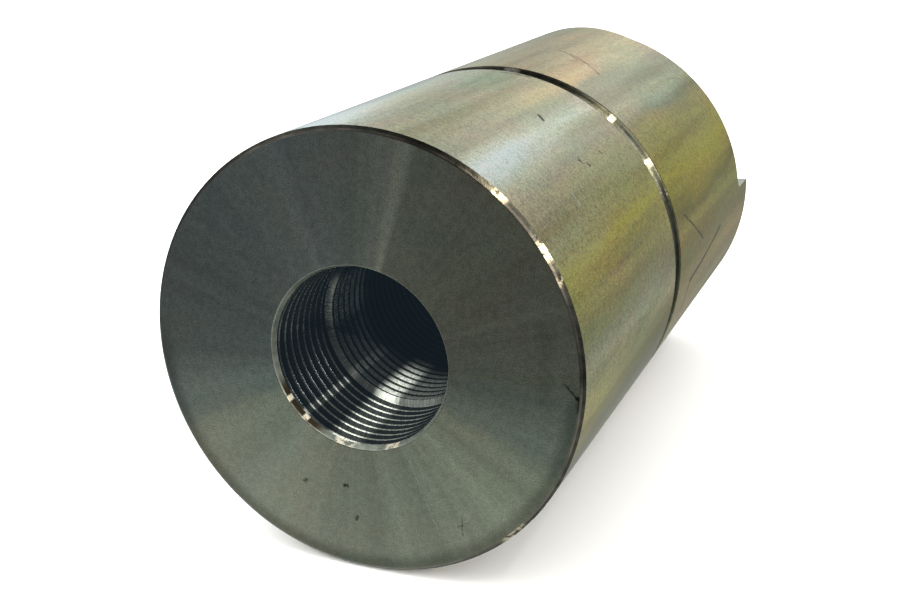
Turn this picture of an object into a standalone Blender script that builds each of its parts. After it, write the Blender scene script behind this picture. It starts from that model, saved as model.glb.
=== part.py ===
"""Rigid sleeve coupling: two thick steel sleeves on one threaded liner.

The axis lies along Y. The front face looks towards -Y and the two claws
point towards +Y. The origin is on the axis, halfway along the whole length.
Lengths are in metres.
"""
import bpy
import bmesh
from math import cos, pi, radians, sin
from mathutils import Matrix

# Driving dimensions.
OUTER_RADIUS = 0.052
SLEEVE_LENGTH = 0.088
CLAW_HEIGHT = 0.015
FACE_CHAMFER = 0.0011
JOINT_CHAMFER = 0.003

# End threads, M45 x 3, left at their drilled size.
END_BORE_RADIUS = 0.021
END_THREAD_LENGTH = 0.0264
MOUTH_RADIUS = 0.02166
MOUTH_DEPTH = 0.00155

# Liner between the end threads, M42 x 3 inside.
LINER_RADIUS = 0.030
LINER_BORE_RADIUS = 0.0199
LINER_CHAMFER_RADIUS = 0.021
LINER_CHAMFER_DEPTH = 0.0018
LINER_EDGE = 0.001

# Claws. The gap's flank stands this far up from +X, seen from the front;
# its ramp rises across the top of the rim.
CLAW_COUNT = 2
CLAW_BORE_RADIUS = 0.032
FLANK_ANGLE = radians(5)
FLANK_FILLET = 0.0032
RAMP_HALF_WIDTH = 0.0135
RAMP_FILLET = 0.004
FILLET_STEPS = 5
CUTTER_INNER_RADIUS = 0.010
CUTTER_OUTER_RADIUS = 0.095
CUTTER_OVERRUN = 0.004

GAP = 0.0003
STEPS = 72
SHARP_ANGLE = radians(25)

TOTAL_LENGTH = 2 * SLEEVE_LENGTH + CLAW_HEIGHT
FRONT_Y = -TOTAL_LENGTH / 2
JOINT_Y = FRONT_Y + SLEEVE_LENGTH
FLOOR_Y = JOINT_Y + SLEEVE_LENGTH
CLAW_Y = FLOOR_Y + CLAW_HEIGHT
LINER_FRONT_Y = FRONT_Y + END_THREAD_LENGTH + GAP
LINER_REAR_Y = FLOOR_Y - END_THREAD_LENGTH - GAP
FLAT_RADIUS = OUTER_RADIUS / cos(pi / STEPS)


def clear_scene():
    for obj in list(bpy.data.objects):
        bpy.data.objects.remove(obj, do_unlink=True)


def new_collection(name):
    collection = bpy.data.collections.new(name)
    bpy.context.scene.collection.children.link(collection)
    return collection


def metal(name, colour, roughness):
    material = bpy.data.materials.new(name)
    material.use_nodes = True
    shader = material.node_tree.nodes["Principled BSDF"]
    shader.inputs["Base Color"].default_value = (*colour, 1.0)
    shader.inputs["Metallic"].default_value = 1.0
    shader.inputs["Roughness"].default_value = roughness
    return material


def turned(name, profile, material, collection):
    """Turn a closed outline of (radius, y) points about the Y axis."""
    mesh = bpy.data.meshes.new(name)
    points = [(radius, 0.0, along) for radius, along in profile]
    edges = [(i, (i + 1) % len(points)) for i in range(len(points))]
    mesh.from_pydata(points, edges, [])
    obj = bpy.data.objects.new(name, mesh)
    collection.objects.link(obj)
    half_step = Matrix.Rotation(pi / STEPS, 4, "Z")
    obj.matrix_world = Matrix.Rotation(-pi / 2, 4, "X") @ half_step
    screw = obj.modifiers.new("turn", "SCREW")
    screw.axis = "Z"
    screw.steps = STEPS
    screw.render_steps = STEPS
    screw.use_merge_vertices = True
    screw.merge_threshold = 0.00001
    obj.data.materials.append(material)
    return obj


def bore_profile(face_y, joint_y, inward):
    """Bore of one sleeve from its mouth to the joint; inward is +1 or -1."""
    seat_y = face_y + inward * END_THREAD_LENGTH
    return [
        (MOUTH_RADIUS, face_y),
        (END_BORE_RADIUS, face_y + inward * MOUTH_DEPTH),
        (END_BORE_RADIUS, seat_y),
        (LINER_RADIUS + GAP, seat_y),
        (LINER_RADIUS + GAP, joint_y),
    ]


def front_profile():
    joint_y = JOINT_Y - GAP / 2
    outside = [
        (FLAT_RADIUS - JOINT_CHAMFER, joint_y),
        (FLAT_RADIUS, joint_y - JOINT_CHAMFER),
        (FLAT_RADIUS, FRONT_Y + FACE_CHAMFER),
        (FLAT_RADIUS - FACE_CHAMFER, FRONT_Y),
    ]
    return outside + bore_profile(FRONT_Y, joint_y, 1)


def rear_profile():
    """As the front one, with the ring that the claws are cut from."""
    joint_y = JOINT_Y + GAP / 2
    outside = [
        (CLAW_BORE_RADIUS, FLOOR_Y),
        (CLAW_BORE_RADIUS, CLAW_Y),
        (FLAT_RADIUS - FACE_CHAMFER, CLAW_Y),
        (FLAT_RADIUS, CLAW_Y - FACE_CHAMFER),
        (FLAT_RADIUS, joint_y + JOINT_CHAMFER),
        (FLAT_RADIUS - JOINT_CHAMFER, joint_y),
    ]
    return outside + bore_profile(FLOOR_Y, joint_y, -1)[::-1]


def liner_profile():
    """The threaded liner, chamfered into both ends of its bore."""
    front, rear = LINER_FRONT_Y, LINER_REAR_Y
    return [
        (LINER_RADIUS - LINER_EDGE, rear),
        (LINER_RADIUS, rear - LINER_EDGE),
        (LINER_RADIUS, front + LINER_EDGE),
        (LINER_RADIUS - LINER_EDGE, front),
        (LINER_CHAMFER_RADIUS, front),
        (LINER_BORE_RADIUS, front + LINER_CHAMFER_DEPTH),
        (LINER_BORE_RADIUS, rear - LINER_CHAMFER_DEPTH),
        (LINER_CHAMFER_RADIUS, rear),
    ]


def flank_corners(along):
    """The upright flank, a plane through the axis, from inside to outside."""
    return [
        (radius * cos(FLANK_ANGLE), along, radius * sin(FLANK_ANGLE))
        for radius in (CUTTER_INNER_RADIUS, CUTTER_OUTER_RADIUS)
    ]


def ramp_corners(along):
    """The ramp's line at one height, parallel to Z, from outside to inside."""
    share = (along - FLOOR_Y) / CLAW_HEIGHT
    across = RAMP_HALF_WIDTH * (1 - 2 * share)
    return [
        (across, along, up) for up in (CUTTER_OUTER_RADIUS, CUTTER_INNER_RADIUS)
    ]


def claw_gap_cutter(name, turn, collection):
    """The gap between two claws: an upright flank, a floor and a ramp."""
    shape = bmesh.new()
    rings = []
    for along in (FLOOR_Y, CLAW_Y + CUTTER_OVERRUN):
        corners = flank_corners(along) + ramp_corners(along)
        rings.append([shape.verts.new(corner) for corner in corners])
    bottom, top = rings
    for i in range(4):
        j = (i + 1) % 4
        shape.faces.new((bottom[i], bottom[j], top[j], top[i]))
    shape.faces.new(bottom[::-1])
    shape.faces.new(top)
    bmesh.ops.recalc_face_normals(shape, faces=shape.faces)
    roots = [
        (shape.edges.get((bottom[0], bottom[1])), FLANK_FILLET),
        (shape.edges.get((bottom[2], bottom[3])), RAMP_FILLET),
    ]
    for edge, size in roots:
        bmesh.ops.bevel(
            shape, geom=[edge], offset=size, segments=FILLET_STEPS,
            profile=0.5, affect="EDGES",
        )
    bmesh.ops.rotate(
        shape, verts=shape.verts, cent=(0, 0, 0),
        matrix=Matrix.Rotation(turn, 3, "Y"),
    )
    mesh = bpy.data.meshes.new(name)
    shape.to_mesh(mesh)
    shape.free()
    cutter = bpy.data.objects.new(name, mesh)
    cutter.hide_render = True
    cutter.display_type = "WIRE"
    collection.objects.link(cutter)
    return cutter


def cut(obj, cutter):
    modifier = obj.modifiers.new("cut_" + cutter.name, "BOOLEAN")
    modifier.operation = "DIFFERENCE"
    modifier.solver = "EXACT"
    modifier.object = cutter


def shade_round(obj):
    """Apply the modifiers, then smooth the turned faces up to the corners."""
    evaluated = obj.evaluated_get(bpy.context.evaluated_depsgraph_get())
    mesh = bpy.data.meshes.new_from_object(evaluated)
    obj.modifiers.clear()
    obj.data = mesh
    mesh.shade_smooth()
    mesh.set_sharp_from_angle(angle=SHARP_ANGLE)
    return obj


def front_sleeve(parts):
    steel = metal("zinc_passivated_steel_front", (0.42, 0.41, 0.33), 0.38)
    return shade_round(turned("front_sleeve", front_profile(), steel, parts))


def rear_sleeve(parts, cutters):
    steel = metal("zinc_passivated_steel_rear", (0.43, 0.41, 0.32), 0.38)
    sleeve = turned("rear_sleeve", rear_profile(), steel, parts)
    for index in range(CLAW_COUNT):
        turn = index * 2 * pi / CLAW_COUNT
        cut(sleeve, claw_gap_cutter(f"claw_gap_{index + 1}", turn, cutters))
    return shade_round(sleeve)


def threaded_liner(parts):
    steel = metal("threaded_liner_steel", (0.40, 0.40, 0.36), 0.32)
    return shade_round(turned("threaded_liner", liner_profile(), steel, parts))


def main():
    clear_scene()
    parts = new_collection("rigid_sleeve_coupling")
    cutters = new_collection("cutters")
    front_sleeve(parts)
    rear_sleeve(parts, cutters)
    threaded_liner(parts)


main()
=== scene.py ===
"""Looks of the rigid sleeve coupling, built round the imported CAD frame."""
import bpy
import bmesh
from math import cos, hypot, radians, sin, tau
from mathutils import Matrix, Vector

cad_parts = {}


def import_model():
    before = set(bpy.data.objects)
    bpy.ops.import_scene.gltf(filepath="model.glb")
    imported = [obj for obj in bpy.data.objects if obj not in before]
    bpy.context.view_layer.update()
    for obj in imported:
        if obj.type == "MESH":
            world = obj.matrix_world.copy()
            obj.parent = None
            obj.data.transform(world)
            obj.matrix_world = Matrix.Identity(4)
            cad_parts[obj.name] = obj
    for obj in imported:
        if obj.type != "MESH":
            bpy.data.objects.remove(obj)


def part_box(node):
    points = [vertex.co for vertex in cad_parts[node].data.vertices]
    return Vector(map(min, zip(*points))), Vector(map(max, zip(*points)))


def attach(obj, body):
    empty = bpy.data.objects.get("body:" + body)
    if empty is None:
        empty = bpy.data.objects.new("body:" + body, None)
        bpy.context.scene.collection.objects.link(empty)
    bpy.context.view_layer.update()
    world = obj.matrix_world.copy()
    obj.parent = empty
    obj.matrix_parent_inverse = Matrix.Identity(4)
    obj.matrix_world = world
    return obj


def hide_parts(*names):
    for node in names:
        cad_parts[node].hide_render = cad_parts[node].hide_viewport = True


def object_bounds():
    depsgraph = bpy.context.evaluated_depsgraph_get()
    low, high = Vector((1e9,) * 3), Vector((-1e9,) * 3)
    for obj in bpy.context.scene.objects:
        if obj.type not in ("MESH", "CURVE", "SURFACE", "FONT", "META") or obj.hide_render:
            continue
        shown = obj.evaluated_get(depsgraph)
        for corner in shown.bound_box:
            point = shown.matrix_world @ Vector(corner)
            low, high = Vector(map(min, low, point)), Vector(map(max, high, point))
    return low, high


MM = 0.001
COLUMNS = 288

# Sizes repeated from the part's own design.
FACE_CHAMFER = 1.1 * MM
JOINT_CHAMFER = 3.0 * MM
END_BORE_RADIUS = 21.0 * MM
END_THREAD_LENGTH = 26.4 * MM
MOUTH_RADIUS = 21.66 * MM
MOUTH_DEPTH = 1.55 * MM
SEAT_RADIUS = 30.3 * MM
LINER_BORE_RADIUS = 19.9 * MM
LINER_CHAMFER_RADIUS = 21.0 * MM
LINER_CHAMFER_DEPTH = 1.8 * MM
LINER_MOUTH_RADIUS = 21.6 * MM
LINER_MOUTH_DEPTH = 0.7 * MM
CLAW_COUNT = 2
CLAW_HEIGHT = 15.0 * MM
CLAW_BORE_RADIUS = 32.0 * MM
FLANK_ANGLE = radians(5)
FLANK_FILLET = 3.2 * MM
RAMP_HALF_WIDTH = 13.5 * MM
RAMP_FILLET = 4.0 * MM
CUTTER_REACH = (10 * MM, 95 * MM)
CUTTER_OVERRUN = 4.0 * MM

# Small edges and lands that only the looks need.
SEAT_LAND = 2.0 * MM
EDGE_ROUND = 0.3 * MM
FACE_ROUND = 0.15 * MM
CLAW_EDGE = 0.35 * MM
LINER_EDGE = 1.0 * MM
LINER_RUN_IN = 0.3 * MM
WELD = 0.001 * MM
# The share of an edge that the rounding of one of its ends may take.
LONGEST_ROUND = 0.45

# Thread form. Widths are shares of the pitch.
PITCH = 3.0 * MM
END_THREAD = {"depth": 1.7 * MM, "crest": 0.20, "root": 0.12, "phase": 1.2 * MM}
LINER_THREAD = {"depth": 1.0 * MM, "crest": 0.58, "root": 0.06, "phase": 1.15 * MM}
THREAD_SNAP = 0.03 * PITCH
RUN_IN = 0.5 * MM
RELIEF_LENGTH = 0.5 * MM
RELIEF_RADIUS = END_BORE_RADIUS + 0.8 * END_THREAD["depth"]

# Distances from the middle between which the bore's painted shade deep inside goes from dark to
# bright.
DARK_INSIDE = (38 * MM, 52 * MM)
DARKEST_INSIDE = 0.03
# How far above the crests their shine ends and the painted shade of the valleys sets in, and what is
# left in the valleys.
CREST_FADE = (0.015 * MM, 0.09 * MM)
VALLEY_SHINE = 0.03

# A darker brown for part of the mouth's edge, and a faint painted glow of the metal in the bore.
MOUTH_DARK_BROWN = (0.045, 0.036, 0.022)
BORE_GLOW = (0.42, 0.75, 1.0, 1.0)
BORE_GLOW_STRENGTH = 0.014

# The camera, in outer radii from the centre of the front face.
CAMERA_PLACE = (2.2924, -4.7346, 2.0054)
CAMERA_AIM = (0.2758, 0.1402, 0.1266)
CAMERA_LENS = 52.9
CAMERA_SENSOR = 36.0
CAMERA_SHIFT = (20 / 900, 30 / 900)

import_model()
CAD_LOW, CAD_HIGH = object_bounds()
FRONT_LOW, FRONT_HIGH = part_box("front_sleeve")
REAR_LOW, REAR_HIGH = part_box("rear_sleeve")
LINER_LOW, LINER_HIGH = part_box("threaded_liner")
OUTER_RADIUS = FRONT_HIGH.z
FRONT_Y = FRONT_LOW.y
CLAW_Y = REAR_HIGH.y
JOINT_Y = (FRONT_HIGH.y + REAR_LOW.y) / 2
FLOOR_Y = CLAW_Y - CLAW_HEIGHT
LINER_CONE_END = LINER_LOW.y + LINER_MOUTH_DEPTH


# ---------------------------------------------------------------- mesh tools

def add_ring(mesh, radius, along):
    """A ring of vertices about the Y axis, starting at +X and going up."""
    ring = []
    for column in range(COLUMNS):
        angle = tau * column / COLUMNS
        spot = (radius * cos(angle), along, radius * sin(angle))
        ring.append(mesh.verts.new(spot))
    return ring


def bridge(mesh, first, second, finish):
    """Faces between two rings."""
    for column in range(COLUMNS):
        after = (column + 1) % COLUMNS
        corners = (first[column], first[after], second[after], second[column])
        mesh.faces.new(corners).material_index = finish


def revolve(mesh, profile, finish):
    """Rings through (radius, y) points, joined up; gives the end rings."""
    rings = [add_ring(mesh, radius, along) for radius, along in profile]
    for first, second in zip(rings, rings[1:]):
        bridge(mesh, first, second, finish)
    return rings[0], rings[-1]


def rounded(points, size, steps=3):
    """The open outline with each inner corner replaced by a small arc."""
    outline = [points[0]]
    for before, corner, after in zip(points, points[1:], points[2:]):
        here = Vector(corner)
        back = Vector(before) - here
        ahead = Vector(after) - here
        reach = min(size, back.length * LONGEST_ROUND, ahead.length * LONGEST_ROUND)
        start = here + back.normalized() * reach
        end = here + ahead.normalized() * reach
        for step in range(steps + 1):
            t = step / steps
            spot = start * (1 - t) ** 2 + here * 2 * t * (1 - t) + end * t ** 2
            outline.append((spot.x, spot.y))
    outline.append(points[-1])
    return outline


def thread_stations(form):
    """Places along one pitch, from the crest's middle, with their depth."""
    crest, root = form["crest"] / 2, form["root"] / 2
    flank = (0.5 - root) - crest
    half = [
        (0.0, 0.0),
        (crest * 0.8, 0.0),
        (crest, 0.02),
        (crest + flank * 0.5, 0.5),
        (0.5 - root, 1.0),
    ]
    other = [(1.0 - place, depth) for place, depth in half[:0:-1]]
    return half + other


def helix_faces(mesh, grid, low_ring, stations, finish):
    """Faces between the columns of a helix.

    The last column meets the first one a whole pitch, so a whole set of
    stations, lower down. Rows below the first one are the low ring.
    """
    def corner(column, row):
        return grid[column][row] if row >= 0 else low_ring[column]

    for column in range(COLUMNS):
        after = (column + 1) % COLUMNS
        step = stations if after == 0 else 0
        for row in range(len(grid[column]) - 1):
            corners = [
                corner(column, row), corner(column, row + 1),
                corner(after, row + 1 - step), corner(after, row - step),
            ]
            unique = list(dict.fromkeys(corners))
            if len(unique) > 2:
                mesh.faces.new(unique).material_index = finish


def thread_wall(mesh, form, crest_radius, start, end, inward, base_radius, finish):
    """A right-hand internal thread whose rows of vertices follow the helix.

    start and end are (ring, y). base_radius(y) is the bore without a thread
    and, with the share of full depth there, shapes the run-in and relief.
    """
    start_ring, start_y = start
    end_ring, end_y = end
    low_ring, high_ring = (start_ring, end_ring) if inward > 0 else (end_ring, start_ring)
    low, high = min(start_y, end_y), max(start_y, end_y)
    stations = thread_stations(form)
    turns = int((high - low) / PITCH) + 3
    shift = (form["phase"] - (low - FRONT_Y)) % PITCH - PITCH

    def vertex(column, row):
        angle = tau * column / COLUMNS
        turn, station = divmod(row, len(stations))
        place, depth = stations[station]
        along = low + shift + PITCH * (turn + place - angle / tau)
        if along <= low + THREAD_SNAP:
            return low_ring[column]
        if along >= high - THREAD_SNAP:
            return high_ring[column]
        bore, share = base_radius(along)
        radius = max(bore, crest_radius + form["depth"] * depth * share)
        spot = (radius * cos(angle), along, radius * sin(angle))
        return mesh.verts.new(spot)

    rows = turns * len(stations)
    grid = [[vertex(column, row) for row in range(rows)] for column in range(COLUMNS)]
    helix_faces(mesh, grid, low_ring, len(stations), finish)


def finish_mesh(name, mesh, materials):
    bmesh.ops.recalc_face_normals(mesh, faces=mesh.faces)
    data = bpy.data.meshes.new(name)
    mesh.to_mesh(data)
    mesh.free()
    for material in materials:
        data.materials.append(material)
    piece = bpy.data.objects.new(name, data)
    bpy.context.scene.collection.objects.link(piece)
    data.shade_smooth()
    return piece


def even_normals(piece):
    """Flat faces keep flat shading next to their rounded edges."""
    piece.data.set_sharp_from_angle(angle=radians(40))
    weighted = piece.modifiers.new("even_normals", "WEIGHTED_NORMAL")
    weighted.keep_sharp = True


def ride(piece, node):
    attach(piece, "root")
    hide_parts(node)


# -------------------------------------------------------------------- pieces

# Places of the materials on a sleeve, and the slopes that tell chamfers.
SIDE, FACE, BORE, GROOVE, RIM, MOUTH = range(6)
MOUTH_SLOPE = 0.3
CHAMFER_SLOPES = (0.6, 0.8)


def name_chamfers(mesh):
    """Give the mouth's cone and the slanted edges outside their own finish."""
    mesh.normal_update()
    low_slope, high_slope = CHAMFER_SLOPES
    for face in mesh.faces:
        spot = face.calc_center_median()
        reach = hypot(spot.x, spot.z)
        out = Vector((spot.x, 0, spot.z)) / reach
        slope = abs(face.normal.dot(out))
        chamfer = reach > SEAT_RADIUS and low_slope < slope < high_slope
        if END_BORE_RADIUS < reach < MOUTH_RADIUS and slope > MOUTH_SLOPE:
            face.material_index = MOUTH
        elif chamfer and spot.y < FRONT_Y + 2 * FACE_CHAMFER:
            face.material_index = RIM
        elif chamfer and spot.y < JOINT_Y + 2 * JOINT_CHAMFER:
            face.material_index = GROOVE


def end_bore(face_y, inward):
    """base_radius for an end thread: run-in, then relief at the seat."""
    def base_radius(along):
        depth = (along - face_y) * inward
        share = min(max((depth - MOUTH_DEPTH) / RUN_IN, 0.0), 1.0)
        relief = 0.0
        if END_THREAD_LENGTH - depth < RELIEF_LENGTH:
            relief = RELIEF_RADIUS
        return max(END_BORE_RADIUS, relief), share
    return base_radius


def sleeve_bore(mesh, cone_ring, face_y, joint_y, inward):
    """Thread, seat and counterbore, from the mouth's cone to the joint."""
    seat_y = face_y + inward * END_THREAD_LENGTH
    seat = [(RELIEF_RADIUS, seat_y), (SEAT_RADIUS, seat_y), (SEAT_RADIUS, joint_y)]
    seat_ring, joint_ring = revolve(mesh, seat, BORE)
    thread_wall(
        mesh, END_THREAD, END_BORE_RADIUS, (cone_ring, face_y + inward * MOUTH_DEPTH),
        (seat_ring, seat_y), inward, end_bore(face_y, inward), BORE,
    )
    return joint_ring


def front_sleeve(materials):
    joint_y = FRONT_HIGH.y
    mesh = bmesh.new()
    outside = [
        (SEAT_RADIUS + SEAT_LAND, joint_y),
        (OUTER_RADIUS - JOINT_CHAMFER, joint_y),
        (OUTER_RADIUS, joint_y - JOINT_CHAMFER),
        (OUTER_RADIUS, FRONT_Y + FACE_CHAMFER),
    ]
    chamfer = [
        (OUTER_RADIUS, FRONT_Y + FACE_CHAMFER),
        (OUTER_RADIUS - FACE_CHAMFER, FRONT_Y),
        (MOUTH_RADIUS, FRONT_Y),
        (END_BORE_RADIUS, FRONT_Y + MOUTH_DEPTH),
    ]
    first, rim = revolve(mesh, rounded(outside, EDGE_ROUND), SIDE)
    face_start, cone = revolve(mesh, rounded(chamfer, FACE_ROUND), FACE)
    name_chamfers(mesh)
    joint = sleeve_bore(mesh, cone, FRONT_Y, joint_y, 1)
    bridge(mesh, joint, first, GROOVE)
    bmesh.ops.remove_doubles(mesh, verts=rim + face_start, dist=WELD)
    piece = finish_mesh("front_sleeve_finish", mesh, materials)
    even_normals(piece)
    ride(piece, "front_sleeve")


def gap_cutter(turn):
    """The gap between two claws: an upright flank, a floor and a ramp."""
    mesh = bmesh.new()
    rings = []
    for along in (FLOOR_Y, CLAW_Y + CUTTER_OVERRUN):
        share = (along - FLOOR_Y) / CLAW_HEIGHT
        across = RAMP_HALF_WIDTH * (1 - 2 * share)
        flank = [(r * cos(FLANK_ANGLE), r * sin(FLANK_ANGLE)) for r in CUTTER_REACH]
        ramp = [(across, r) for r in reversed(CUTTER_REACH)]
        rings.append([mesh.verts.new((x, along, z)) for x, z in flank + ramp])
    bottom, top = rings
    for i in range(4):
        j = (i + 1) % 4
        mesh.faces.new((bottom[i], bottom[j], top[j], top[i]))
    mesh.faces.new(bottom[::-1])
    mesh.faces.new(top)
    bmesh.ops.recalc_face_normals(mesh, faces=mesh.faces)
    roots = [
        (mesh.edges.get((bottom[0], bottom[1])), FLANK_FILLET),
        (mesh.edges.get((bottom[2], bottom[3])), RAMP_FILLET),
    ]
    for edge, size in roots:
        bmesh.ops.bevel(mesh, geom=[edge], offset=size, segments=8, profile=0.5, affect="EDGES")
    bmesh.ops.rotate(mesh, verts=mesh.verts, cent=(0, 0, 0), matrix=Matrix.Rotation(turn, 3, "Y"))
    for face in mesh.faces:
        face.material_index = FACE
    return finish_mesh("claw_gap", mesh, [])


def cut_claws(piece):
    cutters = [gap_cutter(index * tau / CLAW_COUNT) for index in range(CLAW_COUNT)]
    for cutter in cutters:
        cut = piece.modifiers.new("claw_gap", "BOOLEAN")
        cut.operation = "DIFFERENCE"
        cut.solver = "EXACT"
        cut.object = cutter
    bpy.context.view_layer.update()
    evaluated = piece.evaluated_get(bpy.context.evaluated_depsgraph_get())
    data = bpy.data.meshes.new_from_object(evaluated)
    piece.modifiers.clear()
    piece.data = data
    for cutter in cutters:
        bpy.data.objects.remove(cutter)


def soften_claws(piece):
    """Break the claws' edges a little, and leave the thread alone."""
    mesh = bmesh.new()
    mesh.from_mesh(piece.data)
    edges = []
    for edge in mesh.edges:
        near_claws = all(v.co.y > FLOOR_Y - 0.1 * MM for v in edge.verts)
        outside = all(hypot(v.co.x, v.co.z) > CLAW_BORE_RADIUS - 1 * MM for v in edge.verts)
        if near_claws and outside and edge.is_manifold and edge.is_convex:
            if edge.calc_face_angle() > radians(35):
                edges.append(edge)
    bmesh.ops.bevel(
        mesh, geom=edges, offset=CLAW_EDGE, segments=2, profile=0.5,
        affect="EDGES", clamp_overlap=True,
    )
    mesh.to_mesh(piece.data)
    mesh.free()


def rear_sleeve(materials):
    joint_y = REAR_LOW.y
    mesh = bmesh.new()
    outside = [
        (SEAT_RADIUS + SEAT_LAND, joint_y),
        (OUTER_RADIUS - JOINT_CHAMFER, joint_y),
        (OUTER_RADIUS, joint_y + JOINT_CHAMFER),
        (OUTER_RADIUS, CLAW_Y),
    ]
    end = [
        (OUTER_RADIUS, CLAW_Y),
        (CLAW_BORE_RADIUS, CLAW_Y),
        (CLAW_BORE_RADIUS, FLOOR_Y),
        (MOUTH_RADIUS, FLOOR_Y),
        (END_BORE_RADIUS, FLOOR_Y - MOUTH_DEPTH),
    ]
    first, rim = revolve(mesh, rounded(outside, EDGE_ROUND), SIDE)
    end_start, cone = revolve(mesh, end, FACE)
    name_chamfers(mesh)
    joint = sleeve_bore(mesh, cone, FLOOR_Y, joint_y, -1)
    bridge(mesh, joint, first, GROOVE)
    bmesh.ops.remove_doubles(mesh, verts=rim + end_start, dist=WELD)
    piece = finish_mesh("rear_sleeve_finish", mesh, materials)
    cut_claws(piece)
    soften_claws(piece)
    even_normals(piece)
    ride(piece, "rear_sleeve")


def threaded_liner(materials):
    front, rear = LINER_LOW.y, LINER_HIGH.y
    radius = LINER_HIGH.x
    thread_start = front + LINER_MOUTH_DEPTH
    thread_end = rear - LINER_CHAMFER_DEPTH
    mesh = bmesh.new()
    outside = [
        (LINER_BORE_RADIUS, thread_end),
        (LINER_CHAMFER_RADIUS, rear),
        (radius - LINER_EDGE, rear),
        (radius, rear - LINER_EDGE),
        (radius, front + LINER_EDGE),
        (radius - LINER_EDGE, front),
        (LINER_MOUTH_RADIUS, front),
        (LINER_BORE_RADIUS, thread_start),
    ]
    rear_ring, front_ring = revolve(mesh, outside, BORE)

    def base_radius(along):
        into = min(along - thread_start, thread_end - along)
        return LINER_BORE_RADIUS, min(max(into / LINER_RUN_IN, 0.0), 1.0)

    thread_wall(
        mesh, LINER_THREAD, LINER_BORE_RADIUS,
        (front_ring, thread_start), (rear_ring, thread_end), 1, base_radius, BORE,
    )
    piece = finish_mesh("threaded_liner_finish", mesh, materials)
    even_normals(piece)
    ride(piece, "threaded_liner")


# ----------------------------------------------------------------- materials

def node(tree, kind, inputs=None, **settings):
    made = tree.nodes.new(kind)
    for key, value in settings.items():
        setattr(made, key, value)
    for key, value in (inputs or {}).items():
        if isinstance(value, bpy.types.NodeSocket):
            tree.links.new(value, made.inputs[key])
        else:
            made.inputs[key].default_value = value
    return made


def maths(tree, operation, *values):
    made = node(tree, "ShaderNodeMath", operation=operation)
    for index, value in enumerate(values):
        if isinstance(value, bpy.types.NodeSocket):
            tree.links.new(value, made.inputs[index])
        else:
            made.inputs[index].default_value = value
    return made.outputs[0]


def vector_maths(tree, operation, *vectors):
    """A number for a length, distance or dot product, and else a vector."""
    made = node(tree, "ShaderNodeVectorMath", dict(enumerate(vectors)), operation=operation)
    number = operation in ("LENGTH", "DISTANCE", "DOT_PRODUCT")
    return made.outputs["Value" if number else "Vector"]


def scaled(tree, vector, share):
    inputs = {0: vector, "Scale": share}
    return node(tree, "ShaderNodeVectorMath", inputs, operation="SCALE").outputs["Vector"]


def split(tree, where):
    """The x, y and z of a place."""
    made = node(tree, "ShaderNodeSeparateXYZ", {0: where})
    return made.outputs["X"], made.outputs["Y"], made.outputs["Z"]


def on_plane(tree, first, second=0.0):
    return node(tree, "ShaderNodeCombineXYZ", {0: first, 1: second}).outputs[0]


def noise(tree, where, scale, detail=2.0, roughness=0.5):
    inputs = {"Vector": where, "Scale": scale, "Detail": detail, "Roughness": roughness}
    return node(tree, "ShaderNodeTexNoise", inputs).outputs["Fac"]


def centred(tree, value, reach):
    """A value from 0 to 1 made to swing by reach about zero."""
    return maths(tree, "MULTIPLY", maths(tree, "SUBTRACT", value, 0.5), reach)


def away_from(tree, value, middle):
    return maths(tree, "ABSOLUTE", maths(tree, "SUBTRACT", value, middle))


def blend(tree, value, edges, to=(0.0, 1.0)):
    """Goes smoothly from one result to the other between the two edges."""
    inputs = {0: value, 1: edges[0], 2: edges[1], 3: to[0], 4: to[1]}
    return node(tree, "ShaderNodeMapRange", inputs, interpolation_type="SMOOTHSTEP").outputs[0]


def ramp(tree, value, stops):
    made = node(tree, "ShaderNodeValToRGB", {"Fac": value})
    elements = made.color_ramp.elements
    while len(elements) < len(stops):
        elements.new(0.5)
    for element, (place, colour) in zip(elements, stops):
        element.position = place
        if isinstance(colour, (int, float)):
            colour = (colour,) * 3
        element.color = (*colour, 1.0)
    return made.outputs["Color"]


def mixed(tree, share, first, second, blend="MIX"):
    made = node(tree, "ShaderNodeMix", data_type="RGBA", blend_type=blend)
    for index, value in ((0, share), (6, first), (7, second)):
        if isinstance(value, bpy.types.NodeSocket):
            tree.links.new(value, made.inputs[index])
        elif index == 0:
            made.inputs[index].default_value = value
        else:
            made.inputs[index].default_value = (*value, 1.0)
    return made.outputs[2]


def multiplied(tree, colour, *others):
    for other in others:
        colour = mixed(tree, 1.0, colour, other, "MULTIPLY")
    return colour


def bump(tree, height, strength, distance, normal=None):
    inputs = {"Height": height, "Strength": strength, "Distance": distance}
    if normal is not None:
        inputs["Normal"] = normal
    return node(tree, "ShaderNodeBump", inputs).outputs["Normal"]


def start_material(name):
    material = bpy.data.materials.new(name)
    material.use_nodes = True
    tree = material.node_tree
    shader = tree.nodes["Principled BSDF"]
    shader.inputs["Metallic"].default_value = 1.0
    where = node(tree, "ShaderNodeTexCoord").outputs["Object"]
    return material, tree, shader, where


def dress(tree, shader, colour, rough, normal):
    tree.links.new(colour, shader.inputs["Base Color"])
    tree.links.new(rough, shader.inputs["Roughness"])
    tree.links.new(normal, shader.inputs["Normal"])
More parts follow.
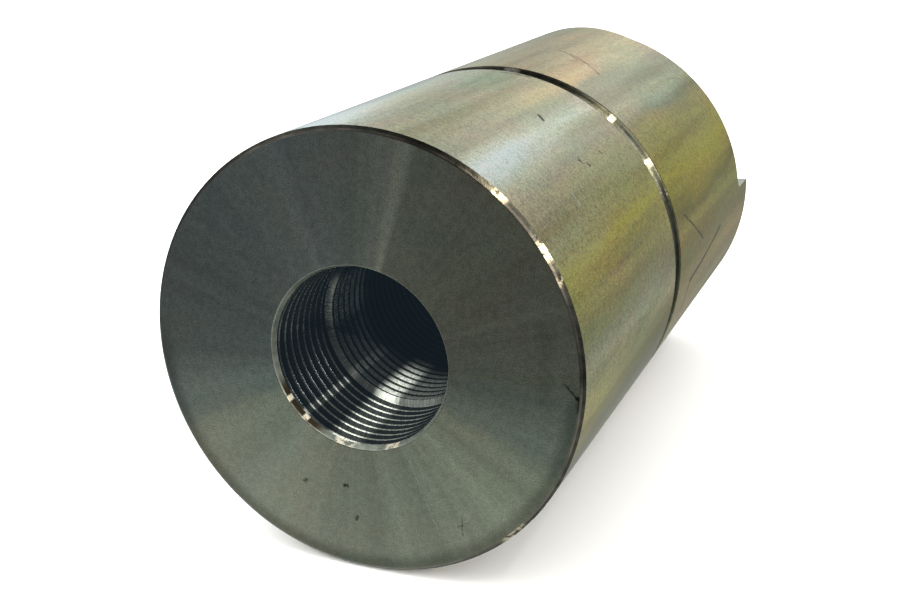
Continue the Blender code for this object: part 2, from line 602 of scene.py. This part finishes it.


# Tints of the passivate round each sleeve, with painted shade and painted highlights by angle: degrees
# up from +X, and colour.
FRONT_TINTS_AND_SHADING = [
    (-180, (0.50, 0.49, 0.36)),
    (-120, (0.54, 0.50, 0.32)),
    (-60, (0.40, 0.38, 0.24)),
    (-18, (0.09, 0.09, 0.02)),
    (-11, (0.31, 0.28, 0.06)),
    (-3, (0.67, 0.64, 0.34)),
    (2, (0.80, 0.81, 0.54)),
    (7, (0.58, 0.60, 0.40)),
    (14, (0.51, 0.51, 0.24)),
    (20, (0.80, 0.71, 0.27)),
    (28, (0.97, 0.84, 0.26)),
    (36, (1.00, 0.97, 0.54)),
    (44, (0.82, 0.71, 0.52)),
    (51, (0.74, 0.74, 0.57)),
    (56, (0.94, 0.97, 0.82)),
    (60, (0.78, 0.76, 0.62)),
    (64, (0.53, 0.50, 0.38)),
    (71, (0.75, 0.74, 0.54)),
    (76, (0.79, 0.76, 0.52)),
    (90, (0.74, 0.76, 0.57)),
    (103, (0.60, 0.64, 0.54)),
    (109, (0.26, 0.28, 0.25)),
    (116, (0.17, 0.17, 0.16)),
    (180, (0.50, 0.49, 0.36)),
]
REAR_TINTS_AND_SHADING = [
    (-180, (0.52, 0.50, 0.36)),
    (-120, (0.56, 0.50, 0.34)),
    (-60, (0.46, 0.43, 0.30)),
    (-17, (0.43, 0.36, 0.17)),
    (-8, (0.62, 0.49, 0.23)),
    (2, (0.46, 0.42, 0.16)),
    (13, (0.66, 0.59, 0.18)),
    (17, (0.56, 0.50, 0.14)),
    (20, (0.38, 0.34, 0.08)),
    (28, (0.92, 0.77, 0.12)),
    (36, (1.00, 0.86, 0.32)),
    (43, (0.58, 0.55, 0.34)),
    (49, (0.85, 0.87, 0.62)),
    (56, (0.53, 0.53, 0.39)),
    (64, (0.48, 0.48, 0.33)),
    (74, (1.00, 0.84, 0.55)),
    (83, (0.72, 0.61, 0.38)),
    (94, (0.66, 0.59, 0.35)),
    (103, (0.62, 0.59, 0.37)),
    (115, (0.31, 0.30, 0.22)),
    (180, (0.52, 0.50, 0.36)),
]

# Fans left on the front face, with painted light: a painted lighter lower half and a radial highlight
# near 76.5 degrees. Degrees up from +X, and colour.
FACE_TINTS_AND_SHADING = [
    (-180, (0.45, 0.49, 0.47)),
    (-158, (0.52, 0.59, 0.55)),
    (-151, (0.64, 0.66, 0.54)),
    (-140, (0.66, 0.69, 0.56)),
    (-130, (0.71, 0.73, 0.62)),
    (-118, (0.63, 0.65, 0.53)),
    (-95, (0.52, 0.53, 0.44)),
    (-70, (0.55, 0.56, 0.46)),
    (-33, (0.54, 0.58, 0.46)),
    (-25, (0.54, 0.59, 0.47)),
    (-20, (0.36, 0.42, 0.36)),
    (-4, (0.34, 0.38, 0.34)),
    (2, (0.33, 0.34, 0.27)),
    (10, (0.36, 0.36, 0.30)),
    (20, (0.43, 0.42, 0.34)),
    (30, (0.42, 0.41, 0.33)),
    (40, (0.37, 0.37, 0.29)),
    (60, (0.43, 0.43, 0.35)),
    (68, (0.41, 0.42, 0.34)),
    (73, (0.48, 0.48, 0.40)),
    # Painted radial highlight streak.
    (76.5, (0.80, 0.79, 0.66)),
    (80, (0.60, 0.59, 0.52)),
    (85, (0.50, 0.51, 0.46)),
    (90, (0.43, 0.45, 0.41)),
    (100, (0.40, 0.43, 0.41)),
    (110, (0.46, 0.50, 0.50)),
    (120, (0.43, 0.48, 0.46)),
    (135, (0.37, 0.42, 0.42)),
    (150, (0.37, 0.41, 0.40)),
    (165, (0.38, 0.42, 0.41)),
    (180, (0.45, 0.49, 0.47)),
]

# Marks on the outside: degrees up from +X and mm along Y at both ends,
# half the width in mm, and strength. Below zero is dark, above is bright.
SIDE_MARKS = [
    (42.1, -65.7, 38.1, -65.2, 0.28, 1.6),
    (63.8, -41.2, 61.8, -42.6, 0.45, -1.3),
    (47.2, -48.2, 46.4, -47.6, 0.40, -1.1),
    (45.2, -45.4, 44.6, -45.0, 0.40, -1.1),
    (46.2, -33.4, 45.4, -33.0, 0.40, -1.0),
    (86.0, -13.4, 78.0, -12.2, 0.40, -1.0),
    # A thin painted highlight along the near edge of the groove.
    (112.0, -10.9, 74.0, -10.9, 0.30, 0.9),
    (85.0, 34.0, 76.0, 26.0, 0.25, -0.9),
    (80.0, 31.0, 66.0, 19.5, 0.20, -0.9),
    (78.0, 22.0, 70.0, 27.0, 0.20, -0.8),
    (15.5, 4.5, 2.7, 24.7, 0.45, -0.8),
    (-0.6, 50.9, -4.6, 30.3, 0.60, -0.9),
    (-4.6, 30.3, -7.0, 11.4, 0.75, -0.9),
    (-7.0, 11.4, -15.5, 8.5, 0.75, -0.8),
]

# How the tints vary from place to place: share of the noise, and a factor.
SIDE_STREAKS = [(0.36, (0.80, 0.77, 0.68)), (0.5, (0.98, 0.98, 0.98)), (0.64, (1.12, 1.11, 1.02))]
SIDE_PATCHES = [(0.36, (0.92, 1.01, 0.97)), (0.5, (1.0, 1.0, 0.97)), (0.64, (1.10, 0.98, 0.98))]
SIDE_SPECKLE = [(0.40, 0.66), (0.60, 1.26)]
FACE_FANS = [(0.32, 0.84), (0.5, 1.0), (0.68, 1.16)]
FACE_PATCHES = [(0.3, (0.90, 0.99, 0.96)), (0.55, (1.0, 1.0, 0.97)), (0.75, (1.10, 1.00, 0.96))]
FACE_SPECKLE = [(0.40, 0.80), (0.60, 1.16)]
BORE_TICKS = [(0.35, (0.36, 0.40, 0.33)), (0.65, (0.92, 0.94, 0.83))]
EDGE_PATCHES = [(0.35, 0.7), (0.65, 1.4)]
EDGE_BREAKS = [(0.40, 0.25), (0.60, 1.0)]
EDGE_GLINT_BREAKUP = [(0.42, 0.0), (0.52, 1.0)]

# How far a mark fades past its half width, and how dark marks may get.
MARK_FADE = 1.6
DARKEST_MARK = 0.1
# Degrees that a cloud's outline sways for a whole turn of wander.
CLOUD_SWAY = 90.0

# Painted highlights on the crests of the threads: degrees up from
# +X, the half widths between which each fades, and how bright.
END_CREST_HIGHLIGHTS = [
    (-102, (4, 14), 1.0),
    (-132.5, (1, 3.5), 0.45),
    (-80, (10, 24), 0.20),
    (160, (12, 26), 0.25),
]
LINER_CREST_HIGHLIGHTS = [
    (-104, (2, 12), 0.90),
    (-80, (9, 24), 0.14),
    (-133, (2, 5), 0.07),
    (172, (10, 24), 0.50),
]

# Broad tinted clouds on the outside, the first two bluish ones being painted highlights
# near the front edge: degrees up from +X, mm along Y, half widths in degrees and mm, and the colour
# they multiply the tint by.
SIDE_CLOUDS_AND_SHEEN = [
    # Painted highlights: bluish sheen near the front edge.
    (57, -82, 8, 45, (1.05, 1.12, 1.35)),
    (100, -88, 14, 34, (1.12, 1.17, 1.40)),
    (70, -22, 6, 45, (1.22, 1.00, 0.86)),
    (85, -28, 9, 26, (0.80, 0.98, 0.92)),
    (93, -60, 8, 30, (1.06, 1.00, 0.90)),
    (72, 8, 8, 28, (1.16, 0.97, 0.92)),
    (48, 40, 6, 40, (0.90, 1.06, 1.16)),
    (27, -40, 3, 40, (1.08, 1.00, 0.70)),
    (-7, -84, 7, 22, (1.05, 0.98, 0.70)),
    (20, -55, 2, 50, (0.78, 0.78, 0.95)),
]

# Marks on the front face: x and z in mm at both ends, half width, strength.
FACE_MARKS = [
    (-14.4, -32.2, -13.8, -31.8, 0.45, -0.7),
    (-3.8, -31.3, -3.2, -31.5, 0.40, -1.1),
    (-0.9, -39.4, -0.7, -38.8, 0.45, -0.8),
    (12.0, -21.4, 19.8, -39.6, 0.12, 0.45),
    (25.0, -34.0, 25.3, -38.6, 0.16, -0.6),
    (26.6, -35.0, 24.2, -36.4, 0.16, -0.5),
    (47.6, 1.6, 50.4, -1.5, 0.25, -0.7),
    (50.6, -1.2, 51.4, -6.2, 0.60, -0.9),
    (24.0, 42.4, 27.0, 43.0, 1.60, -0.12),
    (43.0, 13.0, 43.6, -3.0, 2.00, -0.12),
]


def side_angle(tree, where):
    """Angle round the axis as 0 to 1, from -180 to 180 degrees up from +X."""
    x, _, z = split(tree, where)
    turn = maths(tree, "ARCTAN2", z, x)
    return maths(tree, "ADD", maths(tree, "DIVIDE", turn, tau), 0.5)


def degrees_round(tree, where):
    return centred(tree, side_angle(tree, where), 360.0)


def degrees_away(tree, where, middle):
    """How many degrees round the axis a point is from the middle one."""
    turn = maths(tree, "SUBTRACT", degrees_round(tree, where), middle)
    turn = maths(tree, "WRAP", turn, 180.0, -180.0)
    return maths(tree, "ABSOLUTE", turn)


def from_axis(tree, where):
    x, _, z = split(tree, where)
    return vector_maths(tree, "LENGTH", on_plane(tree, x, z))


def tint_round(tree, where, tints, sway):
    """Colour by degree round the axis, with sway moving its borders."""
    stops = [((degree + 180) / 360, colour) for degree, colour in tints]
    return ramp(tree, maths(tree, "ADD", side_angle(tree, where), sway), stops)


def grain(tree, where, fineness):
    """Fine sandy grain of the plated surface."""
    fine = maths(tree, "MULTIPLY", noise(tree, where, 1700.0 * fineness, 2.0, 0.6), 0.7)
    coarse = maths(tree, "MULTIPLY", noise(tree, where, 520.0 * fineness, 2.0, 0.5), 0.3)
    return maths(tree, "ADD", fine, coarse)


def mark(tree, flat, ends, half_width):
    """1 on the line between two points of a plane, 0 away from it."""
    (u1, v1), (u2, v2) = ends
    run = (u2 - u1, v2 - v1, 0.0)
    length_squared = run[0] ** 2 + run[1] ** 2
    offset = vector_maths(tree, "SUBTRACT", flat, (u1, v1, 0.0))
    along = maths(tree, "DIVIDE", vector_maths(tree, "DOT_PRODUCT", offset, run), length_squared)
    share = node(tree, "ShaderNodeClamp", {0: along}).outputs[0]
    away = vector_maths(tree, "DISTANCE", offset, scaled(tree, run, share))
    return blend(tree, away, (0.0, half_width * MARK_FADE), (1.0, 0.0))


def marks(tree, flat, table, stretch):
    """Sum of all marks; stretch turns the first coordinate into mm."""
    ragged = centred(tree, noise(tree, flat, 0.8, 3.0), 1.2)
    wobble = vector_maths(tree, "ADD", flat, ragged)
    total = 0.0
    for first, second, third, fourth, half_width, strength in table:
        ends = ((first * stretch, second), (third * stretch, fourth))
        line = mark(tree, wobble, ends, half_width)
        total = maths(tree, "ADD", total, maths(tree, "MULTIPLY", line, strength))
    return total


def with_marks(tree, colour, total):
    shade = maths(tree, "MAXIMUM", maths(tree, "ADD", total, 1.0), DARKEST_MARK)
    return multiplied(tree, colour, shade)


def clouds(tree, colour, degree, along, table):
    """Broad soft clouds of another tint, laid over a colour."""
    for middle, place, half_degrees, half_length, tint in table:
        first = maths(tree, "DIVIDE", maths(tree, "SUBTRACT", degree, middle), half_degrees)
        second = maths(tree, "DIVIDE", maths(tree, "SUBTRACT", along, place), half_length)
        reach = vector_maths(tree, "LENGTH", on_plane(tree, first, second))
        share = blend(tree, reach, (0.1, 1.0), (1.0, 0.0))
        colour = mixed(tree, share, colour, multiplied(tree, colour, tint))
    return colour


def zinc_side(name, tints):
    """Yellow passivated zinc with long streaks along the axis, and painted shade and highlights by
    angle and in two clouds.
    """
    material, tree, shader, where = start_material(name)
    _, along, _ = split(tree, where)
    along_mm = maths(tree, "DIVIDE", along, MM)
    long_waves = vector_maths(tree, "MULTIPLY", where, (1.0, 0.22, 1.0))
    long_streaks = vector_maths(tree, "MULTIPLY", where, (1.0, 0.06, 1.0))
    long_patches = vector_maths(tree, "MULTIPLY", where, (1.0, 0.45, 1.0))
    wander = centred(tree, noise(tree, long_waves, 40.0, 4.0), 0.075)
    sand = grain(tree, where, 1.35)
    colour = multiplied(
        tree, tint_round(tree, where, tints, wander),
        ramp(tree, noise(tree, long_streaks, 150.0, 4.0, 0.6), SIDE_STREAKS),
        ramp(tree, noise(tree, long_patches, 60.0, 4.0, 0.6), SIDE_PATCHES),
        ramp(tree, sand, SIDE_SPECKLE),
    )
    swaying = maths(tree, "MULTIPLY_ADD", wander, CLOUD_SWAY, degrees_round(tree, where))
    colour = clouds(tree, colour, swaying, along_mm, SIDE_CLOUDS_AND_SHEEN)
    unrolled = centred(tree, side_angle(tree, where), tau * OUTER_RADIUS / MM)
    flat = on_plane(tree, unrolled, along_mm)
    scars = marks(tree, flat, SIDE_MARKS, radians(1) * OUTER_RADIUS / MM)
    shader.inputs["Specular Tint"].default_value = (0.88, 0.88, 0.86, 1.0)
    rough = maths(tree, "MULTIPLY_ADD", sand, 0.24, 0.20)
    normal = bump(tree, scars, 0.8, 0.12 * MM, bump(tree, sand, 0.9, 0.10 * MM))
    dress(tree, shader, with_marks(tree, colour, scars), rough, normal)
    return material


def zinc_face():
    """Faced-off end: soft fans from the lathe under the same passivate, with a painted radial
    highlight and a painted lighter lower half.
    """
    material, tree, shader, where = start_material("zinc_face")
    x, y, z = split(tree, where)
    flat = on_plane(tree, x, z)
    radius = from_axis(tree, where)
    rings = noise(tree, on_plane(tree, radius), 2600.0, 2.0)
    sand = grain(tree, where, 1.7)
    fan = noise(tree, vector_maths(tree, "NORMALIZE", flat), 5.0, 5.0, 0.6)
    patch = noise(tree, where, 45.0, 5.0, 0.6)
    sway = centred(tree, noise(tree, where, 60.0, 3.0), 0.006)
    below = blend(tree, z, (-10 * MM, 8 * MM), (0.42, 0.0))
    outer = blend(tree, radius, (0.90 * OUTER_RADIUS, 0.965 * OUTER_RADIUS))
    dark_rim = maths(tree, "SUBTRACT", 1.0, maths(tree, "MULTIPLY", below, outer))
    colour = multiplied(
        tree, tint_round(tree, where, FACE_TINTS_AND_SHADING, sway),
        ramp(tree, fan, FACE_FANS), ramp(tree, patch, FACE_PATCHES),
        dark_rim, ramp(tree, sand, FACE_SPECKLE),
    )
    in_front = blend(tree, y, (FRONT_Y + 1 * MM, FRONT_Y + 3 * MM), (1.0, 0.0))
    scars = marks(tree, scaled(tree, flat, 1 / MM), FACE_MARKS, 1.0)
    scars = maths(tree, "MULTIPLY", scars, in_front)
    shader.inputs["Anisotropic"].default_value = 0.7
    shader.inputs["Anisotropic Rotation"].default_value = 0.25
    tangent = node(tree, "ShaderNodeTangent", direction_type="RADIAL", axis="Y")
    tree.links.new(tangent.outputs[0], shader.inputs["Tangent"])
    rough = maths(tree, "MULTIPLY_ADD", sand, 0.10, 0.19)
    normal = bump(tree, sand, 0.3, 0.05 * MM, bump(tree, rings, 0.25, 0.02 * MM))
    dress(tree, shader, with_marks(tree, colour, scars), rough, normal)
    return material


def crest_shine(tree, along, radius, crest_radius):
    """1 on the thread's crests and the liner's front cone; the painted shade between is dark."""
    share = blend(tree, maths(tree, "SUBTRACT", radius, crest_radius), CREST_FADE, (1.0, VALLEY_SHINE))
    if crest_radius == END_BORE_RADIUS:
        return share
    cone = blend(tree, along, (LINER_CONE_END, LINER_CONE_END + 0.1 * MM), (1.0, 0.0))
    inside = blend(tree, radius, (LINER_MOUTH_RADIUS - 0.05 * MM, LINER_MOUTH_RADIUS), (1.0, 0.0))
    return maths(tree, "MAXIMUM", share, maths(tree, "MULTIPLY", cone, inside))


def highlight_share(tree, where, painted_highlights, rest):
    """Painted highlight on the crests, by degree round the axis."""
    lit_share = rest
    for middle, edges, amount in painted_highlights:
        away = degrees_away(tree, where, middle)
        lit_share = maths(tree, "MAXIMUM", lit_share, blend(tree, away, edges, (amount, rest)))
    return lit_share


def zinc_bore(name, crest_radius, metallic, grazing, painted_highlights, rest):
    """Cut threads: bright crests, painted shade in the valleys and deep inside, and a faint painted
    glow.

    The listed places are painted highlights on the crests, as (degrees,
    half widths, share); rest is the share everywhere else.
    """
    material, tree, shader, where = start_material(name)
    shader.inputs["Metallic"].default_value = metallic
    shader.inputs["Specular Tint"].default_value = (grazing, grazing, grazing, 1.0)
    # A faint painted glow in the bore's metal lifts its darkest parts.
    shader.inputs["Emission Color"].default_value = BORE_GLOW
    shader.inputs["Emission Strength"].default_value = BORE_GLOW_STRENGTH
    _, along, _ = split(tree, where)
    around = maths(tree, "MULTIPLY", side_angle(tree, where), 0.13)
    spread = on_plane(tree, around, maths(tree, "MULTIPLY", along, 0.3))
    ticks = noise(tree, spread, 1800.0, 3.0, 0.6)
    # Painted shade in the valleys between the crests.
    crest = crest_shine(tree, along, from_axis(tree, where), crest_radius)
    # Painted shade deeper inside the bore.
    depth = blend(tree, away_from(tree, along, JOINT_Y), DARK_INSIDE, (DARKEST_INSIDE, 1.0))
    shade = maths(tree, "MULTIPLY", crest, depth)
    # Painted highlights on the crests at some angles.
    shade = maths(tree, "MULTIPLY", shade, highlight_share(tree, where, painted_highlights, rest))
    colour = multiplied(tree, ramp(tree, ticks, BORE_TICKS), shade)
    grime = maths(tree, "MULTIPLY", maths(tree, "SUBTRACT", 1.0, depth), 0.6)
    rough = maths(tree, "ADD", maths(tree, "MULTIPLY_ADD", ticks, 0.14, 0.20), grime)
    dress(tree, shader, colour, rough, bump(tree, ticks, 0.10, 0.02 * MM))
    return material


def angle_windows(tree, where, places):
    """1 in the middle of each (degrees, half width) place, 0 outside them."""
    total = 0.0
    for middle, half_width in places:
        away = degrees_away(tree, where, middle)
        share = blend(tree, away, (half_width * 0.5, half_width), (1.0, 0.0))
        total = maths(tree, "MAXIMUM", total, share)
    return total


def radial_lines(tree, where, lines):
    """1 on each thin ring of (radius, half width), 0 away from them."""
    radius = from_axis(tree, where)
    total = 0.0
    for middle, half_width in lines:
        away = away_from(tree, radius, middle)
        share = blend(tree, away, (half_width * 0.5, half_width), (1.0, 0.0))
        total = maths(tree, "MAXIMUM", total, share)
    return total


def edge_with_glints(name, dark, line, light, places, lines, roughness, metallic=1.0, darkened_places=()):
    """Chamfers: dark uneven metal, thin lighter rings of painted highlight, and places of painted
    glint.

    places, and the places made darker, are (degrees, half width); lines are (radius, half width).
    """
    material, tree, shader, where = start_material(name)
    shader.inputs["Metallic"].default_value = metallic
    patch = noise(tree, where, 420.0, 4.0, 0.65)
    tone = multiplied(tree, dark, ramp(tree, patch, EDGE_PATCHES))
    # Part of the edge in a darker brown.
    if darkened_places:
        tone = mixed(tree, angle_windows(tree, where, darkened_places), tone, MOUTH_DARK_BROWN)
    # Thin lighter rings of painted highlight, broken up.
    broken = ramp(tree, noise(tree, where, 160.0, 3.0), EDGE_BREAKS)
    ring = maths(tree, "MULTIPLY", radial_lines(tree, where, lines), broken)
    # Bright places of painted glint, broken up.
    glint_breakup = ramp(tree, patch, EDGE_GLINT_BREAKUP)
    glint_share = maths(tree, "MULTIPLY", angle_windows(tree, where, places), glint_breakup)
    colour = mixed(tree, glint_share, mixed(tree, ring, tone, line), light)
    rough = maths(tree, "MULTIPLY_ADD", patch, 0.2, roughness)
    dress(tree, shader, colour, rough, bump(tree, patch, 1.0, 0.06 * MM))
    return material


# --------------------------------------------------------------------- stage

ORIGIN = (0, 0, 0)
FRONT_CENTRE = (0, FRONT_Y, 0)
FLOOR_HALF_WIDTH = 12.0
RIM_LAMP_SIZE = 0.02
RIM_LAMP_PLACES = {"left": (0.46, -0.37, 0.80), "right": (0.79, -0.38, 0.47)}
BORE_LIGHT_SIZE = 0.016
BORE_LIGHT_PLACE = (6 * MM, FLOOR_Y - 20 * MM, -8 * MM)
BORE_LAMP_PLACE = (0.08, FRONT_Y - 0.38, 0.315)
BORE_LAMP_CONE = 4.6
WARM = (1.0, 0.88, 0.66)
COOL = (0.8, 0.93, 1.0)


def point_at(thing, aim):
    away = Vector(aim) - Vector(thing.location)
    thing.rotation_euler = away.to_track_quat("-Z", "Y").to_euler()


def add_light(name, data, place, aim):
    light = bpy.data.objects.new(name, data)
    light.location = place
    point_at(light, aim)
    bpy.context.scene.collection.objects.link(light)
    return light


def area_light(name, place, aim, size, power, colour):
    data = bpy.data.lights.new(name, "AREA")
    data.size = size
    data.energy = power
    data.color = colour
    return add_light(name, data, place, aim)


def floor_material():
    material, tree, shader, where = start_material("pale_floor")
    shader.inputs["Metallic"].default_value = 0.0
    shader.inputs["Roughness"].default_value = 0.9
    tone = ramp(tree, noise(tree, where, 3.0), [(0.0, 0.82), (1.0, 0.86)])
    tree.links.new(tone, shader.inputs["Base Color"])
    return material


def floor():
    mesh = bmesh.new()
    bmesh.ops.create_grid(mesh, x_segments=8, y_segments=8, size=FLOOR_HALF_WIDTH)
    data = bpy.data.meshes.new("floor")
    mesh.to_mesh(data)
    mesh.free()
    data.materials.append(floor_material())
    ground = bpy.data.objects.new("floor", data)
    ground.location.z = CAD_LOW.z
    ground.visible_glossy = False
    bpy.context.scene.collection.objects.link(ground)


# What the metal mirrors: direction, narrowness, brightness, tint.
ROOM_GLOWS = [
    ((0.0, 1.0, -0.15), 3, 0.36, (0.98, 1.0, 0.95)),
    ((-0.30, 0.93, 0.18), 14, 0.30, (0.98, 1.0, 0.98)),
    ((0.05, 0.93, 0.37), 90, 1.05, (0.95, 1.0, 1.02)),
    ((-0.15, 0.95, 0.29), 80, 0.40, (1.0, 1.0, 0.98)),
    ((-0.60, 0.79, 0.10), 60, 2.3, (0.92, 1.0, 1.10)),
    ((-0.75, -0.25, 0.60), 8, 0.55, (1.0, 1.0, 1.0)),
    ((0.75, -0.25, 0.60), 8, 0.80, (1.0, 1.0, 1.0)),
]
ROOM_WALL = (0.106, 0.114, 0.116)
ROOM_CEILING_SHARE = 0.22
CEILING_EDGE = (-0.10, 0.30)
ROOM_FLOOR = (0.31, 0.32, 0.295)
FLOOR_EDGE = (0.375, 0.43)


def glow(tree, where, direction, narrow, colour):
    """A soft round glow, brightest where the view direction meets it."""
    aim = tuple(Vector(direction).normalized())
    facing = maths(tree, "MAXIMUM", vector_maths(tree, "DOT_PRODUCT", where, aim), 0.0)
    return scaled(tree, colour, maths(tree, "POWER", facing, narrow))


def world():
    """A dark room with soft glows behind the object and a lit floor."""
    scene_world = bpy.data.worlds.new("studio")
    scene_world.use_nodes = True
    tree = scene_world.node_tree
    where = node(tree, "ShaderNodeTexCoord").outputs["Generated"]
    _, _, up = split(tree, where)
    below = blend(tree, maths(tree, "MULTIPLY", up, -1.0), FLOOR_EDGE)
    wall = blend(tree, up, CEILING_EDGE, (1.0, ROOM_CEILING_SHARE))
    total = vector_maths(
        tree, "ADD", scaled(tree, ROOM_FLOOR, below), scaled(tree, ROOM_WALL, wall)
    )
    for direction, narrow, amount, tint in ROOM_GLOWS:
        colour = tuple(amount * channel for channel in tint)
        total = vector_maths(tree, "ADD", total, glow(tree, where, direction, narrow, colour))
    tree.links.new(total, tree.nodes["Background"].inputs["Color"])
    bpy.context.scene.world = scene_world


def sun(name, direction, spread, strength):
    """Broad light for the floor and its shadow; the metal doesn't mirror it."""
    data = bpy.data.lights.new(name, "SUN")
    data.angle = radians(spread)
    data.energy = strength
    light = add_light(name, data, direction, ORIGIN)
    light.visible_glossy = False


def spot_light(name, place, aim, cone, power):
    """A narrow lamp for the inside of the bore; the metal doesn't mirror it."""
    data = bpy.data.lights.new(name, "SPOT")
    data.energy = power
    data.spot_size = radians(cone)
    data.spot_blend = 0.3
    data.shadow_soft_size = 0.01
    light = add_light(name, data, place, aim)
    light.visible_glossy = False


def lights():
    sun("sky_fill", (0.0, 0.0, 1.0), 170, 5.9)
    sun("key", (-0.70, -0.22, 0.70), 60, 1.9)
    for side, place in RIM_LAMP_PLACES.items():
        area_light("rim_lamp_" + side, place, ORIGIN, RIM_LAMP_SIZE, 0.9, WARM)
    deep = area_light("bore_light", BORE_LIGHT_PLACE, FRONT_CENTRE, BORE_LIGHT_SIZE, 0.02, COOL)
    deep.visible_camera = False
    spot_light("bore_lamp", BORE_LAMP_PLACE, FRONT_CENTRE, BORE_LAMP_CONE, 150.0)


def camera():
    centre = Vector(FRONT_CENTRE)
    place = centre + Vector(CAMERA_PLACE) * OUTER_RADIUS
    aim = centre + Vector(CAMERA_AIM) * OUTER_RADIUS
    data = bpy.data.cameras.new("camera")
    data.lens = CAMERA_LENS
    data.sensor_width = CAMERA_SENSOR
    data.shift_x, data.shift_y = CAMERA_SHIFT
    data.clip_start = 0.01
    eye = bpy.data.objects.new("camera", data)
    eye.location = place
    point_at(eye, aim)
    bpy.context.scene.collection.objects.link(eye)
    bpy.context.scene.camera = eye


camera()
face = zinc_face()
# Groove: dark tone painted as shade in the groove, with painted highlight rings and painted glints.
groove = edge_with_glints(
    "groove_edge",
    dark=(0.09, 0.095, 0.07), line=(0.30, 0.31, 0.26), light=(1.0, 0.94, 0.80),
    places=[(52, 1.3), (35, 1.6), (25, 1.0), (86, 3.0)],
    lines=[(OUTER_RADIUS - 1.3 * MM, 0.35 * MM), (OUTER_RADIUS - 0.2 * MM, 0.25 * MM)],
    roughness=0.16,
)
# Rim: a painted highlight ring and painted glints.
rim = edge_with_glints(
    "rim_edge",
    dark=(0.11, 0.11, 0.09), line=(0.32, 0.28, 0.24), light=(0.95, 0.84, 0.60),
    places=[(51, 2.6), (35, 3.2), (27, 1.6), (-43, 6)],
    lines=[(OUTER_RADIUS - 0.8 * MM, 0.25 * MM)],
    roughness=0.14,
)
# Mouth: a painted highlight ring and painted glints, and a darker brown over part of it.
mouth = edge_with_glints(
    "mouth_edge",
    dark=(0.30, 0.33, 0.28), line=(0.50, 0.52, 0.44), light=(1.0, 0.92, 0.70),
    places=[(-68, 6.0), (-101, 8.0), (-130, 2.5), (-145.5, 2.5)],
    lines=[(MOUTH_RADIUS, 0.2 * MM)],
    roughness=0.24, metallic=0.92, darkened_places=[(-137, 28)],
)
edges = [groove, rim, mouth]
end_thread = zinc_bore(
    "end_thread", END_BORE_RADIUS, metallic=0.82, grazing=1.0, painted_highlights=END_CREST_HIGHLIGHTS, rest=0.05
)
liner_thread = zinc_bore(
    "liner_thread", LINER_BORE_RADIUS, metallic=0.85, grazing=0.35, painted_highlights=LINER_CREST_HIGHLIGHTS, rest=0.03
)
front_sleeve([zinc_side("zinc_front", FRONT_TINTS_AND_SHADING), face, end_thread] + edges)
rear_sleeve([zinc_side("zinc_rear", REAR_TINTS_AND_SHADING), face, end_thread] + edges)
threaded_liner([liner_thread, face, liner_thread] + edges)
floor()
world()
lights()
bpy.context.scene.view_settings.view_transform = "Standard"
